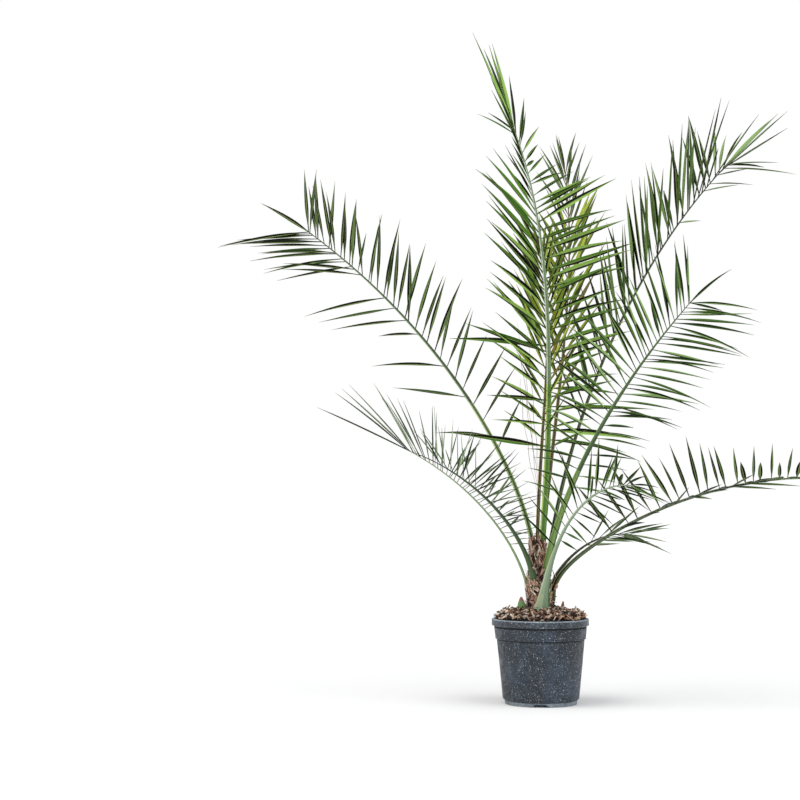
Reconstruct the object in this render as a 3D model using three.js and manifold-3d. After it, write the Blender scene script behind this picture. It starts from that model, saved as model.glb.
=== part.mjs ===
// A young date palm in a plastic nursery pot, in millimetres, +Z up.
// The origin is at the centre of the pot's flat underside and the plant's front is -Y.
// Each frond is one solid: a tapering rachis with a row of folded leaflets down each side.
import * as THREE from 'three';
import { mergeVertices } from 'three/addons/utils/BufferGeometryUtils.js';
import Module from 'manifold-3d';

const wasm = await Module();
wasm.setup();

// ---- driving dimensions -------------------------------------------------------------

const GAP = 0.35; // clearance between neighbouring solids
const NEARBY = 1; // how far round a leaflet its neighbours are measured
const GOLDEN_ANGLE = Math.PI * (3 - Math.sqrt(5));
const SOCKET_RINGS = 5; // how many of a frond's rings the stem and the soil make room for
const GRID = 1 / 256; // corners of the finished solids lie on this grid

const POT = {
  height: 181,
  wall: 2.8,
  footRadius: 78, // the foot ring that the pot stands on
  footHeight: 10,
  baseRadius: 82, // the body's radius just above the foot
  neckRadius: 94, // the body's radius under the band
  bandRadius: 97, // the band's lower radius, under the rim
  bandTopRadius: 99.5,
  bandHeight: 28,
  rimRadius: 105,
  rimHeight: 15,
  rimRound: 2,
  floor: 6, // thickness of the pot's floor above the foot
  step: 1, // height of the sloping steps under the body, the band and the rim
  segments: 48,
  notches: 4, // drainage notches through the foot
  notchWidth: 34,
  notchTop: 0.62, // a notch's width at the top, of its width at the foot
  notchHeight: 6,
  notchDepth: 9,
  notchReach: 40,
};

const SOIL = {
  top: 192, // height of the mulch at the wall
  mound: 12, // how much higher it is at the stem
  relief: 1.75, // height of the bumps in the mulch
  shoulder: 177, // where the soil leaves the pot's wall
  inset: 0.985, // its surface's reach, of the radius at the shoulder
  rings: 5,
  segments: 36,
  chips: 20,
  chipSize: [13, 7, 6],
  chipSpread: 0.35, // how much the chips differ in size
  chipReach: 0.9, // how near the wall they lie
  chipTilt: 0.5,
};

// The stem's silhouette as [height, radius], from its foot in the soil to the sheath's top.
const STEM = {
  profile: [
    [150, 22], [185, 25], [205, 27], [232, 27], [258, 24],
    [283, 20.5], [300, 18.5], [318, 17.5], [338, 17], [349, 15],
  ],
  segments: 12,
  leanX: -5, // the top's sideways shift
  deeper: 1.15, // how much wider it is from front to back
  roughness: 0.07,
  dome: 3, // how much its middle stands above its last ring
  lobeLength: 50,
  lobePoint: 0.25, // a torn tip's top radius, of its foot's
  lobes: [ // torn tips of the fibre sheath: [x, y, radius, top height]
    [-13, -6, 6.5, 362],
    [-3, -12, 5.5, 366],
    [-14, 12, 5, 357],
  ],
};

const STUB_SINK = 8; // how deep a stub stands in the mulch
const STUB_RINGS = [[0, 1], [0.6, 0.9], [1, 0.5]]; // [share of its height, share of its width]
const STUB_TIP = 1.5;

const STUBS = [
  { name: 'leaf_stub_left', x: -38, y: -14, width: 18, depth: 10, top: 227, lean: -3 },
  { name: 'leaf_stub_right', x: 45, y: -6, width: 12, depth: 8, top: 217, lean: 4 },
];

const RACHIS = {
  rings: 18,
  crowding: 1.35, // power by which its rings crowd towards the foot
  steps: 144, // steps in following its slope
  taper: 0.76, // share of the petiole's width lost by the tip
  sheathReach: 40, // distance over which the clasping base narrows
  claspReach: 45, // distance over which a rachis bends away from the stem
  depth: 0.8, // thickness for each unit of width
  sheathDepth: 0.12, // how much of the clasping base's width is added to it
  shoulder: 0.3, // height of the section's upper edges, of its depth
  flank: [0.7, 0.6], // the section's lower edges, of its half width and its depth
  tip: 2,
};

const LEAF = {
  width: 0.06, // of the length
  minWidth: 7,
  maxWidth: 12.5,
  widest: 0.38, // where along the leaflet it is broadest
  keel: 0.3, // depth of the fold for each unit of width
  longest: 0.35, // where along the leafy part the longest leaflets stand
  waistReach: 0.14, // how far along it a run of short leaflets spreads
  sink: 0.25, // how deep its root lies under the rachis's middle, for each unit of depth
  lastRoot: 0.985, // the share of the rachis past which no leaflet of a row stands
  endRoot: 0.97, // where the single leaflet at the end stands
  unevenness: 0.006, // how far along the rachis it may be out of step
  spread: 0.12, // how much neighbours differ in length
  stunted: 0.88, // above this, one leaflet in about sixteen is short
  short: 0.5, // the length of a short leaflet, of what it would be
  thinned: 0.6, // the share of the leafy part over which a row is thinned
};

// Angles are in degrees. azimuth is the way a frond leans, anticlockwise from +X, and turn
// is how much that changes along it. rise and fall are its slopes at foot and tip, eased by
// a power, and clasp is how much steeper it leaves the stem. The first share of its length,
// bare, has no leaflets. roll and twist turn the frond about its own rachis. lift raises the
// two rows of leaflets into a V, and flat is the share of it that is lost by the tip. The
// leaflets open by openFoot and openTip, changing by the power late, one row more than the
// other by its skew. crowd is the power by which they crowd towards the tip, sparse thins
// one row near the foot, lop shortens it there, and past broken every second one is short.
// leafFoot, leafTip and taper shape their lengths, with a run of short ones at waistAt, and
// strays is how far they wander from their row.
const FROND = {
  turn: 0, ease: 0.5, clasp: 0, bare: 0.22, roll: 0, twist: 0, lift: 25, flat: 0.35,
  openFoot: 85, openTip: 25, skewFoot: 0, skewTip: 0, late: 1.2, broken: 2, crowd: 0.75,
  sparse: 0, lop: 0, leafFoot: 0.6, leafTip: 0.8, taper: 1.5, waist: 0, waistAt: 0.8,
  petiole: 11, sheath: 15, sag: 0.06, strays: 8, colour: '#53713f',
};

const FRONDS = [
  { name: 'frond_tall_centre', foot: [3, -1, 322], azimuth: 55, turn: 90, rise: 81, fall: 66,
    ease: 2.5, length: 1035, bare: 0.2, pairs: 38, leaf: 195, openFoot: 66, openTip: -6,
    skewFoot: -12, late: 5, leafTip: 1.45, waist: 0.74, waistAt: 0.79, petiole: 15, sheath: 16,
    colour: '#5f8f3a' },
  { name: 'frond_back_right', foot: [5, 17, 306], azimuth: 62, turn: 35, rise: 87, fall: 52,
    length: 1085, bare: 0.34, pairs: 24, leaf: 185, openFoot: 32, openTip: 8, leafTip: 0.95,
    petiole: 10, sheath: 10, colour: '#7f9a3c' },
  { name: 'frond_upper_right', foot: [13, 7, 284], azimuth: 38, rise: 80, fall: 41, ease: 0.9,
    length: 1145, bare: 0.28, pairs: 28, leaf: 212, lift: 80, flat: 1.3, late: 5.5,
    openFoot: 45, openTip: 62, skewFoot: -5, skewTip: -42, leafFoot: 0.8, leafTip: 1.2,
    petiole: 11, sheath: 13 },
  { name: 'frond_mid_right', foot: [10, -12, 262], azimuth: -43, rise: 86, fall: 39,
    length: 712, bare: 0.24, pairs: 34, leaf: 195, roll: -60, openFoot: 88, openTip: 47,
    skewFoot: -14, skewTip: 6, crowd: 0.66, lop: 0.4, leafTip: 0.7, petiole: 17, sheath: 22,
    sag: 0.1 },
  { name: 'frond_low_right', foot: [26.5, -3, 230], azimuth: -4, rise: 38, fall: -7, ease: 1.3,
    clasp: 52, length: 715, pairs: 27, leaf: 126, roll: 40, lift: 45, flat: 0, openFoot: 85,
    openTip: 62, skewFoot: 10, skewTip: 12, broken: 0.45, leafFoot: 1.1, leafTip: 0.4,
    taper: 0.6, petiole: 11, sheath: 17 },
  { name: 'frond_front_right', foot: [4, -30.5, 203], azimuth: -52, rise: 76, fall: -8,
    ease: 1.35, clasp: 4, length: 438, bare: 0.3, pairs: 18, leaf: 140, roll: -40, lift: 10,
    openFoot: 90, openTip: 20, skewFoot: 30, lop: 0.65, leafFoot: 0.8, leafTip: 0.6,
    petiole: 10, sheath: 50, strays: 13 },
  { name: 'frond_upper_left', foot: [-14, 4, 322], azimuth: 150, rise: 90, fall: 34, ease: 0.42,
    length: 1025, bare: 0.2, pairs: 34, leaf: 188, roll: -50, openFoot: 62, openTip: 48,
    skewFoot: 6, skewTip: 9, crowd: 0.6, sparse: 0.5, leafFoot: 0.75, leafTip: 1.05,
    petiole: 11, sheath: 12 },
  { name: 'frond_front_left', foot: [-12, -24, 254], azimuth: 222, rise: 89, fall: 22,
    length: 380, bare: 0.25, pairs: 14, leaf: 115, lift: 70, flat: 0, openFoot: 112,
    openTip: 30, leafFoot: 0.4, late: 2.2, strays: 14, petiole: 12, sheath: 34 },
  { name: 'frond_low_left', foot: [-22.5, 2, 222], azimuth: 172, rise: 88, fall: 27, ease: 0.6,
    length: 445, bare: 0.25, pairs: 19, leaf: 125, lift: 75, flat: 0, openFoot: 115, openTip: 6,
    late: 2, leafFoot: 0.4, leafTip: 1.9, taper: 4, strays: 14, petiole: 8, sheath: 16 },
  { name: 'frond_low_right_short', foot: [20, 17, 236], azimuth: 22, rise: 50, fall: -8,
    ease: 1.6, clasp: 25, length: 250, bare: 0.52, pairs: 7, leaf: 110, roll: 70, lift: 8,
    openFoot: 32, openTip: 15, leafTip: 0.9, petiole: 8, sheath: 12 },
  { name: 'frond_back_centre', foot: [-7, 17, 308], azimuth: 40, turn: 70, rise: 88.5, fall: 60,
    ease: 1.2, roll: -10, twist: 10, length: 740, bare: 0.35, pairs: 20, leaf: 165,
    openFoot: 36, openTip: 12, leafFoot: 0.55, petiole: 10, sheath: 10, colour: '#7d8f3e' },
];

// ---- small helpers ------------------------------------------------------------------

const radians = THREE.MathUtils.degToRad;
const mix = THREE.MathUtils.lerp;

// An even spread of values from -1 to 1 that is the same on every run.
function wobble(index, channel) {
  const x = Math.sin(index * 127.1 + channel * 311.7) * 43758.5453;
  return 2 * (x - Math.floor(x)) - 1;
}

function toSolid(geometry) {
  const bare = geometry.clone();
  bare.deleteAttribute('normal');
  bare.deleteAttribute('uv');
  const merged = mergeVertices(bare, 1e-4);
  return new wasm.Manifold(new wasm.Mesh({
    numProp: 3,
    vertProperties: new Float32Array(merged.attributes.position.array),
    triVerts: new Uint32Array(merged.index.array),
  }));
}

function toGeometry(solid) {
  const mesh = solid.getMesh();
  const geometry = new THREE.BufferGeometry();
  geometry.setAttribute('position', new THREE.BufferAttribute(mesh.vertProperties, 3));
  geometry.setIndex(new THREE.BufferAttribute(mesh.triVerts, 1));
  geometry.computeVertexNormals();
  return geometry;
}

// The largest of the bodies that a cut leaves behind.
function mainBody(solid) {
  return solid.decompose().reduce((a, b) => (b.volume() > a.volume() ? b : a));
}

const cornerName = (positions, vertex) => positions.slice(3 * vertex, 3 * vertex + 3).join();

// Whether every edge lies between exactly two faces.
function isTidy(solid) {
  const { vertProperties, triVerts } = solid.getMesh();
  const uses = new Map();
  for (let i = 0; i < triVerts.length; i += 1) {
    const next = i % 3 === 2 ? i - 2 : i + 1;
    const ends = [cornerName(vertProperties, triVerts[i]), cornerName(vertProperties, triVerts[next])];
    const edge = ends.sort().join('/');
    uses.set(edge, (uses.get(edge) ?? 0) + 1);
  }
  return [...uses.values()].every((count) => count === 2);
}

// The solid with its corners moved to a fine grid, so that corners nearer than that
// become one, and without the faces and scraps that this closes up.
function settle(solid) {
  const mesh = solid.getMesh();
  const position = mesh.vertProperties.map((value) => Math.round(value / GRID) * GRID);
  const index = [];
  for (let i = 0; i < mesh.triVerts.length; i += 3) {
    const face = [...mesh.triVerts.slice(i, i + 3)];
    if (new Set(face.map((vertex) => cornerName(position, vertex))).size === 3) {
      index.push(...face);
    }
  }
  const geometry = new THREE.BufferGeometry();
  geometry.setAttribute('position', new THREE.BufferAttribute(position, 3));
  geometry.setIndex(index);
  return mainBody(toSolid(geometry));
}

// A closed skin over rings of equally many points, with a point fan at each end. Seen
// from the end that it grows towards, each ring runs anticlockwise.
function loft(rings, start, end) {
  const count = rings[0].length;
  const points = [start, ...rings.flat(), end];
  const last = points.length - 1;
  const index = [];
  for (let side = 0; side < count; side += 1) {
    const next = (side + 1) % count;
    index.push(0, 1 + next, 1 + side);
    for (let ring = 0; ring + 1 < rings.length; ring += 1) {
      const low = 1 + ring * count;
      const high = low + count;
      index.push(low + side, low + next, high + next);
      index.push(low + side, high + next, high + side);
    }
    const top = 1 + (rings.length - 1) * count;
    index.push(last, top + side, top + next);
  }
  const geometry = new THREE.BufferGeometry().setFromPoints(points);
  geometry.setIndex(index);
  return geometry;
}

function makeMesh(name, solid, colour, roughness = 0.6) {
  const material = new THREE.MeshStandardMaterial({ color: colour, roughness, metalness: 0 });
  const mesh = new THREE.Mesh(toGeometry(solid), material);
  mesh.name = name;
  return mesh;
}

// ---- pot ----------------------------------------------------------------------------

function potOutline() {
  const { height, rimHeight, rimRound, bandHeight, footHeight } = POT;
  const bandTop = height - rimHeight;
  const bandFoot = bandTop - bandHeight;
  const inside = (radius) => radius - POT.wall;
  return [
    [0, 0],
    [POT.footRadius, 0],
    [POT.footRadius, footHeight],
    [POT.baseRadius, footHeight + POT.step],
    [POT.neckRadius, bandFoot],
    [POT.bandRadius, bandFoot + POT.step],
    [POT.bandTopRadius, bandTop],
    [POT.rimRadius, bandTop + POT.step],
    [POT.rimRadius, height - rimRound],
    [POT.rimRadius - rimRound, height],
    [inside(POT.bandTopRadius), height],
    [inside(POT.neckRadius), bandFoot],
    [inside(POT.baseRadius), footHeight + POT.floor],
    [0, footHeight + POT.floor],
  ].map(([x, y]) => new THREE.Vector2(x, y));
}

function revolve(outline, segments) {
  const geometry = new THREE.LatheGeometry(outline, segments);
  geometry.rotateX(Math.PI / 2);
  return toSolid(geometry);
}

function notchCutter(turn) {
  const half = POT.notchWidth / 2;
  const outline = new THREE.Shape([
    new THREE.Vector2(-half, -1),
    new THREE.Vector2(half, -1),
    new THREE.Vector2(half * POT.notchTop, POT.notchHeight),
    new THREE.Vector2(-half * POT.notchTop, POT.notchHeight),
  ]);
  const geometry = new THREE.ExtrudeGeometry(
    outline, { depth: POT.notchReach, bevelEnabled: false });
  geometry.rotateX(Math.PI / 2);
  geometry.translate(0, -(POT.footRadius - POT.notchDepth), 0);
  geometry.rotateZ(turn);
  return toSolid(geometry);
}

function makePot() {
  let pot = revolve(potOutline(), POT.segments);
  for (let i = 0; i < POT.notches; i += 1) {
    pot = pot.subtract(notchCutter((i * 2 * Math.PI) / POT.notches));
  }
  return pot;
}

// ---- soil and mulch -----------------------------------------------------------------

function soilHeight(share, angle) {
  const mound = SOIL.mound * (1 - share * share);
  const bumps = Math.sin(angle * 7 + share * 9) + Math.sin(angle * 4 - share * 14);
  return SOIL.top + mound + bumps * SOIL.relief;
}

// The soil's radius against the pot's wall at a height.
function soilRadius(height) {
  const floor = POT.footHeight + POT.floor;
  const bandFoot = POT.height - POT.rimHeight - POT.bandHeight;
  const low = (height - floor) / (bandFoot - floor);
  const high = (height - bandFoot) / (POT.height - bandFoot);
  const wall = height < bandFoot
    ? mix(POT.baseRadius, POT.neckRadius, low)
    : mix(POT.neckRadius, POT.bandTopRadius, high);
  return wall - POT.wall - GAP;
}

function soilBed() {
  const { segments, rings, shoulder, inset } = SOIL;
  const circle = (radius, height) => Array.from({ length: segments }, (_, i) => {
    const angle = (i * 2 * Math.PI) / segments;
    return new THREE.Vector3(radius * Math.cos(angle), radius * Math.sin(angle), height(angle));
  });
  const floor = POT.footHeight + POT.floor + GAP;
  const bandFoot = POT.height - POT.rimHeight - POT.bandHeight;
  const stack = [floor, bandFoot, shoulder].map((z) => circle(soilRadius(z), () => z));
  for (let ring = 0; ring < rings; ring += 1) {
    const share = 1 - ring / rings;
    const radius = inset * share * soilRadius(shoulder);
    stack.push(circle(radius, (angle) => soilHeight(share, angle)));
  }
  const foot = new THREE.Vector3(0, 0, floor);
  const peak = new THREE.Vector3(0, 0, SOIL.top + SOIL.mound);
  return toSolid(loft(stack, foot, peak));
}

function barkChip(index) {
  const [length, width, height] = SOIL.chipSize;
  const scale = 1 + SOIL.chipSpread * wobble(index, 11);
  const box = new THREE.BoxGeometry(length * scale, width * scale, height * scale);
  const share = Math.sqrt((index + 0.5) / SOIL.chips) * SOIL.chipReach;
  const angle = index * GOLDEN_ANGLE;
  const radius = share * (POT.neckRadius - POT.wall);
  box.rotateX(SOIL.chipTilt * wobble(index, 12));
  box.rotateY(SOIL.chipTilt * wobble(index, 13));
  box.rotateZ(Math.PI * wobble(index, 14));
  box.translate(radius * Math.cos(angle), radius * Math.sin(angle), soilHeight(share, angle));
  return toSolid(box);
}

function makeSoil(cutters) {
  let soil = soilBed();
  for (let i = 0; i < SOIL.chips; i += 1) {
    soil = soil.add(barkChip(i));
  }
  for (const cutter of cutters) {
    soil = soil.subtract(cutter);
  }
  return settle(soil);
}

// ---- stem ---------------------------------------------------------------------------

// The stem's skin grown outwards by a margin.
function stemSkin(margin) {
  const { profile, segments, leanX, deeper, roughness } = STEM;
  const foot = profile[0][0];
  const top = profile[profile.length - 1][0];
  const rings = profile.map(([height, radius], ring) => {
    const shift = (leanX * (height - foot)) / (top - foot);
    return Array.from({ length: segments }, (_, i) => {
      const angle = (i * 2 * Math.PI) / segments;
      const reach = radius * (1 + roughness * wobble(ring * segments + i, 21)) + margin;
      const z = height + (ring === 0 ? -margin : 0);
      return new THREE.Vector3(
        shift + reach * Math.cos(angle), deeper * reach * Math.sin(angle), z);
    });
  });
  const start = new THREE.Vector3(0, 0, foot - margin);
  const end = new THREE.Vector3(leanX, 0, top + STEM.dome);
  return toSolid(loft(rings, start, end));
}

// A torn, pointed strip of the fibre sheath that stands up out of the stem's top.
function sheathLobe([x, y, radius, top]) {
  const length = STEM.lobeLength;
  const cone = new THREE.CylinderGeometry(radius * STEM.lobePoint, radius, length, 6);
  cone.rotateX(Math.PI / 2);
  cone.translate(x, y, top - length / 2);
  return toSolid(cone);
}

function makeStem(sockets) {
  let stem = stemSkin(0);
  for (const lobe of STEM.lobes) {
    stem = stem.add(sheathLobe(lobe));
  }
  for (const socket of sockets) {
    stem = stem.subtract(socket);
  }
  return settle(stem);
}

// The cut base of a leaf that was taken off, standing in the mulch.
function makeStub(stub, margin) {
  const { x, y, width, depth, top, lean } = stub;
  const foot = SOIL.top - STUB_SINK;
  const ring = (share, scale) => {
    const z = mix(foot - margin, top + margin, share);
    return Array.from({ length: 6 }, (_, i) => {
      const angle = (i * Math.PI) / 3;
      return new THREE.Vector3(
        x + lean * share + (width / 2 * scale + margin) * Math.cos(angle),
        y + (depth / 2 * scale + margin) * Math.sin(angle),
        z,
      );
    });
  };
  const start = new THREE.Vector3(x, y, foot - margin);
  const end = new THREE.Vector3(x + lean + STUB_TIP, y, top + STUB_TIP + margin);
  return toSolid(loft(STUB_RINGS.map(([share, scale]) => ring(share, scale)), start, end));
}

// ---- fronds -------------------------------------------------------------------------

// The directions along, across and over the frond at a share of its length.
function frondFrame(frond, share) {
  const steep = frond.clasp * Math.exp((-share * frond.length) / RACHIS.claspReach);
  const slope = radians(mix(frond.rise, frond.fall, Math.max(share, 1e-4) ** frond.ease) + steep);
  const azimuth = radians(frond.azimuth + frond.turn * share);
  const roll = radians(frond.roll + frond.twist * share);
  const along = new THREE.Vector3(
    Math.cos(slope) * Math.cos(azimuth), Math.cos(slope) * Math.sin(azimuth), Math.sin(slope));
  const level = new THREE.Vector3(-Math.sin(azimuth), Math.cos(azimuth), 0);
  const upper = new THREE.Vector3().crossVectors(along, level);
  const across = level.clone().applyAxisAngle(along, roll);
  const over = upper.applyAxisAngle(along, roll);
  return { along, across, over };
}

// The shares of a rachis's length at which its rings stand.
const RING_SHARES = Array.from(
  { length: RACHIS.rings + 1 }, (_, i) => (i / RACHIS.rings) ** RACHIS.crowding);

// The rachis's middle line, straight from ring to ring, as a function of the share.
function rachisCurve(frond) {
  const { steps } = RACHIS;
  const path = [new THREE.Vector3(...frond.foot)];
  for (let i = 0; i < steps; i += 1) {
    const { along } = frondFrame(frond, (i + 0.5) / steps);
    path.push(path[i].clone().addScaledVector(along, frond.length / steps));
  }
  const onPath = (share) => {
    const low = Math.min(Math.floor(share * steps), steps - 1);
    return path[low].clone().lerp(path[low + 1], share * steps - low);
  };
  const middles = RING_SHARES.map(onPath);
  return (share) => {
    const next = Math.max(1, RING_SHARES.findIndex((place) => place >= share));
    const low = RING_SHARES[next - 1];
    const part = (share - low) / (RING_SHARES[next] - low);
    return middles[next - 1].clone().lerp(middles[next], part);
  };
}

function rachisWidth(frond, share) {
  const reach = share * frond.length / RACHIS.sheathReach;
  const clasp = (frond.sheath - frond.petiole) * Math.exp(-reach);
  return frond.petiole * (1 - RACHIS.taper * share) + clasp;
}

function rachisDepth(frond, share) {
  const bare = frond.petiole * (1 - RACHIS.taper * share);
  return 0.5 * RACHIS.depth * bare + RACHIS.sheathDepth * rachisWidth(frond, share);
}

// A rachis's section, flat above and keeled below, grown outwards by a margin.
function rachisSection(half, depth, margin) {
  const grown = half * (1 + 0.06 * margin);
  const edge = grown + 1.6 * margin;
  const flank = RACHIS.flank[0] * grown + 1.4 * margin;
  const top = RACHIS.shoulder * depth + margin;
  const low = -RACHIS.flank[1] * depth - margin;
  return [[edge, top], [-edge, top], [-flank, low], [0, -depth - 1.5 * margin], [flank, low]];
}

// The rachis as a solid, or its foot alone up to a number of rings with a margin.
function rachisSolid(frond, lastRing = RACHIS.rings, margin = 0) {
  const at = rachisCurve(frond);
  const rings = RING_SHARES.slice(0, lastRing + 1).map((share, i) => {
    const { along, across, over } = frondFrame(frond, share);
    const section = rachisSection(
      rachisWidth(frond, share) / 2, rachisDepth(frond, share), margin);
    const middle = at(share).addScaledVector(along, i === 0 ? -margin : 0);
    return section.map(([x, y]) => middle.clone()
      .addScaledVector(across, x).addScaledVector(over, y));
  });
  const last = RING_SHARES[lastRing];
  const start = at(0).addScaledVector(frondFrame(frond, 0).along, -margin);
  const end = at(last).addScaledVector(frondFrame(frond, last).along, RACHIS.tip);
  return toSolid(loft(rings, start, end));
}

// How long the leaflets are at a share of the leafy part, against the longest.
function leafSize(frond, share) {
  const { longest, waistReach } = LEAF;
  if (share < longest) {
    return mix(frond.leafFoot, 1, Math.sin((Math.PI / 2) * (share / longest)));
  }
  const waist = frond.waist * Math.exp(-(((share - frond.waistAt) / waistReach) ** 2));
  return mix(1, frond.leafTip, ((share - longest) / (1 - longest)) ** frond.taper) * (1 - waist);
}

// A folded blade with six faces: a root, a broad place with two edges and a keel, and a tip.
function leafSolid({ root, direction, over, length, sag }) {
  const broad = THREE.MathUtils.clamp(length * LEAF.width, LEAF.minWidth, LEAF.maxWidth);
  const side = new THREE.Vector3().crossVectors(direction, over).normalize();
  const face = new THREE.Vector3().crossVectors(side, direction).normalize();
  const middle = root.clone().addScaledVector(direction, length * LEAF.widest);
  const tip = root.clone().addScaledVector(direction, length);
  tip.z -= sag * length;
  const lift = LEAF.keel * broad * 0.5;
  const ring = [
    middle.clone().addScaledVector(side, -broad / 2).addScaledVector(face, lift),
    middle.clone().addScaledVector(side, broad / 2).addScaledVector(face, lift),
    middle.clone().addScaledVector(face, -lift),
  ];
  return toSolid(loft([ring], root, tip));
}

// The way a leaflet points at a share of the leafy part, from the rachis's own directions.
function leafDirection(frond, share, side, key, { along, across, over }) {
  const bend = share ** frond.late;
  const open = radians(mix(
    frond.openFoot + side * frond.skewFoot, frond.openTip + side * frond.skewTip, bend)
    + frond.strays * wobble(key, 2));
  const lift = radians(frond.lift * (1 - frond.flat * bend) + frond.strays * wobble(key, 3));
  const out = across.clone().multiplyScalar(side * Math.cos(lift))
    .addScaledVector(over, Math.sin(lift));
  return along.clone().multiplyScalar(Math.cos(open))
    .addScaledVector(out, Math.sin(open)).normalize();
}

function leafLength(frond, share, side, pair, key) {
  const length = frond.leaf * leafSize(frond, share) * (1 + LEAF.spread * wobble(key, 4));
  const lopped = side > 0 ? 1 - frond.lop * (1 - share) : 1;
  const stunted = wobble(key, 5) > LEAF.stunted || (pair % 2 > 0 && share > frond.broken);
  return length * lopped * (stunted ? LEAF.short : 1);
}

// Where every leaflet of a frond stands, as its root, direction, upper side and length.
function leafPlaces(frond, number) {
  const at = rachisCurve(frond);
  const { sag } = frond;
  const places = [];
  for (const side of [1, -1]) {
    for (let pair = 0; pair < frond.pairs; pair += 1) {
      const key = number * 100 + pair * 2 + (side > 0 ? 1 : 0);
      const share = (pair + 0.5 + 0.25 * side) / frond.pairs;
      if (side > 0 && share < LEAF.thinned && wobble(key, 14) < 2 * frond.sparse - 1) {
        continue;
      }
      const spread = (1 - frond.bare) * share ** frond.crowd;
      const place = Math.min(
        frond.bare + spread + LEAF.unevenness * wobble(key, 1), LEAF.lastRoot);
      const frame = frondFrame(frond, place);
      const direction = leafDirection(frond, share, side, key, frame);
      const length = leafLength(frond, share, side, pair, key);
      const root = at(place)
        .addScaledVector(frame.over, -LEAF.sink * rachisDepth(frond, place));
      places.push({ root, direction, over: frame.over, length, sag });
    }
  }
  const { along, over } = frondFrame(frond, 1);
  const length = frond.leaf * frond.leafTip;
  places.push({ root: at(LEAF.endRoot), direction: along, over, length, sag });
  return places;
}

function near(a, b) {
  const p = a.boundingBox();
  const q = b.boundingBox();
  return [0, 1, 2].every(
    (i) => p.min[i] - NEARBY < q.max[i] && q.min[i] - NEARBY < p.max[i]);
}

// Whether a leaflet stays clear of every other solid.
function isClear(leaf, others) {
  return others.every((other) => !near(leaf, other) || leaf.minGap(other, NEARBY) > GAP);
}

function makeFrond(frond, number, rachis, others) {
  let solid = settle(rachis);
  for (const place of leafPlaces(frond, number)) {
    const leaf = leafSolid(place);
    const joined = isClear(leaf, others) ? settle(solid.add(leaf)) : solid;
    solid = isTidy(joined) ? joined : solid;
  }
  return solid;
}

// ---- assembly -----------------------------------------------------------------------

function makePalm() {
  const palm = new THREE.Group();
  palm.name = 'date_palm';

  const fronds = FRONDS.map((entry) => ({ ...FROND, ...entry }));
  const rachises = fronds.map((frond) => rachisSolid(frond));
  const sockets = fronds.map((frond) => rachisSolid(frond, SOCKET_RINGS, GAP));

  const pot = makePot();
  const stem = makeStem(sockets);
  const stubs = STUBS.map((stub) => makeStub(stub, 0));
  const stubSeats = STUBS.map((stub) => makeStub(stub, GAP));
  const soil = makeSoil([stemSkin(GAP), ...sockets, ...stubSeats]);

  palm.add(makeMesh('pot', pot, '#454d56', 0.55));
  palm.add(makeMesh('soil', soil, '#5b4636', 0.95));
  palm.add(makeMesh('stem', stem, '#7d5b48', 0.9));
  STUBS.forEach((stub, i) => palm.add(makeMesh(stub.name, stubs[i], '#6d7a4a', 0.8)));

  const standing = [pot, soil, stem, ...stubs];
  const done = [];
  fronds.forEach((frond, i) => {
    const others = [...standing, ...done, ...rachises.filter((_, j) => j > i)];
    const solid = makeFrond(frond, i, rachises[i], others);
    done.push(solid);
    palm.add(makeMesh(frond.name, solid, frond.colour, 0.55));
  });
  return palm;
}

export default makePalm();
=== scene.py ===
import random
from math import atan2, cos, degrees, exp, floor, pi, radians, sin, sqrt, tau
from types import SimpleNamespace

import bmesh
import bpy
import numpy as np
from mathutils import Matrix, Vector, noise


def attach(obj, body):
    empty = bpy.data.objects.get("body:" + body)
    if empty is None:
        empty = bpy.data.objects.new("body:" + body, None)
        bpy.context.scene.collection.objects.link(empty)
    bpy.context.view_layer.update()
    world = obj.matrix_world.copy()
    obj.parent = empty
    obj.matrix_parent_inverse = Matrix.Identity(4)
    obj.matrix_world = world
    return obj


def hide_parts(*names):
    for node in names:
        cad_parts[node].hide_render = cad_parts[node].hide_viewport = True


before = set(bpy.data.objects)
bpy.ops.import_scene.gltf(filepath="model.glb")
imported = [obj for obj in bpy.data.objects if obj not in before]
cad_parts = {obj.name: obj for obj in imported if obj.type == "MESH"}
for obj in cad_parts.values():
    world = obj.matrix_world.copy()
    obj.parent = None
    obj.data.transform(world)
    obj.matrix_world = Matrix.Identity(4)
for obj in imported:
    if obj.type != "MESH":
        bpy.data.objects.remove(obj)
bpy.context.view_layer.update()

# A young date palm in a plastic nursery pot. Lengths are in millimetres until a mesh is made.
MM = 0.001
UP = np.array([0.0, 0.0, 1.0])

# ---- sizes, as in the part's source ----

POT = SimpleNamespace(
    height=181, wall=2.8, foot_radius=78, foot_height=10, base_radius=82, neck_radius=94,
    band_radius=97, band_top=99.5, band_height=28, rim_radius=105, rim_height=15,
    notches=4, notch_width=34, notch_height=6, notch_depth=9,
)
SOIL = SimpleNamespace(top=192, mound=12, relief=1.75, shoulder=177)
STEM_PROFILE = [  # height, radius
    (150, 22), (185, 25), (205, 27), (232, 27), (258, 24),
    (283, 20.5), (300, 18.5), (318, 17.5), (338, 17), (349, 15),
]
STEM_TOP = STEM_PROFILE[-1][0]
STEM_LEAN, STEM_DEEPER = -5, 1.15
SHEATH_LOBES = [(-13, -6, 6.5, 362), (-3, -12, 5.5, 366), (-14, 12, 5, 357)]  # x, y, radius, tip

# ---- the fronds, by the same rule as the solids ----

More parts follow.
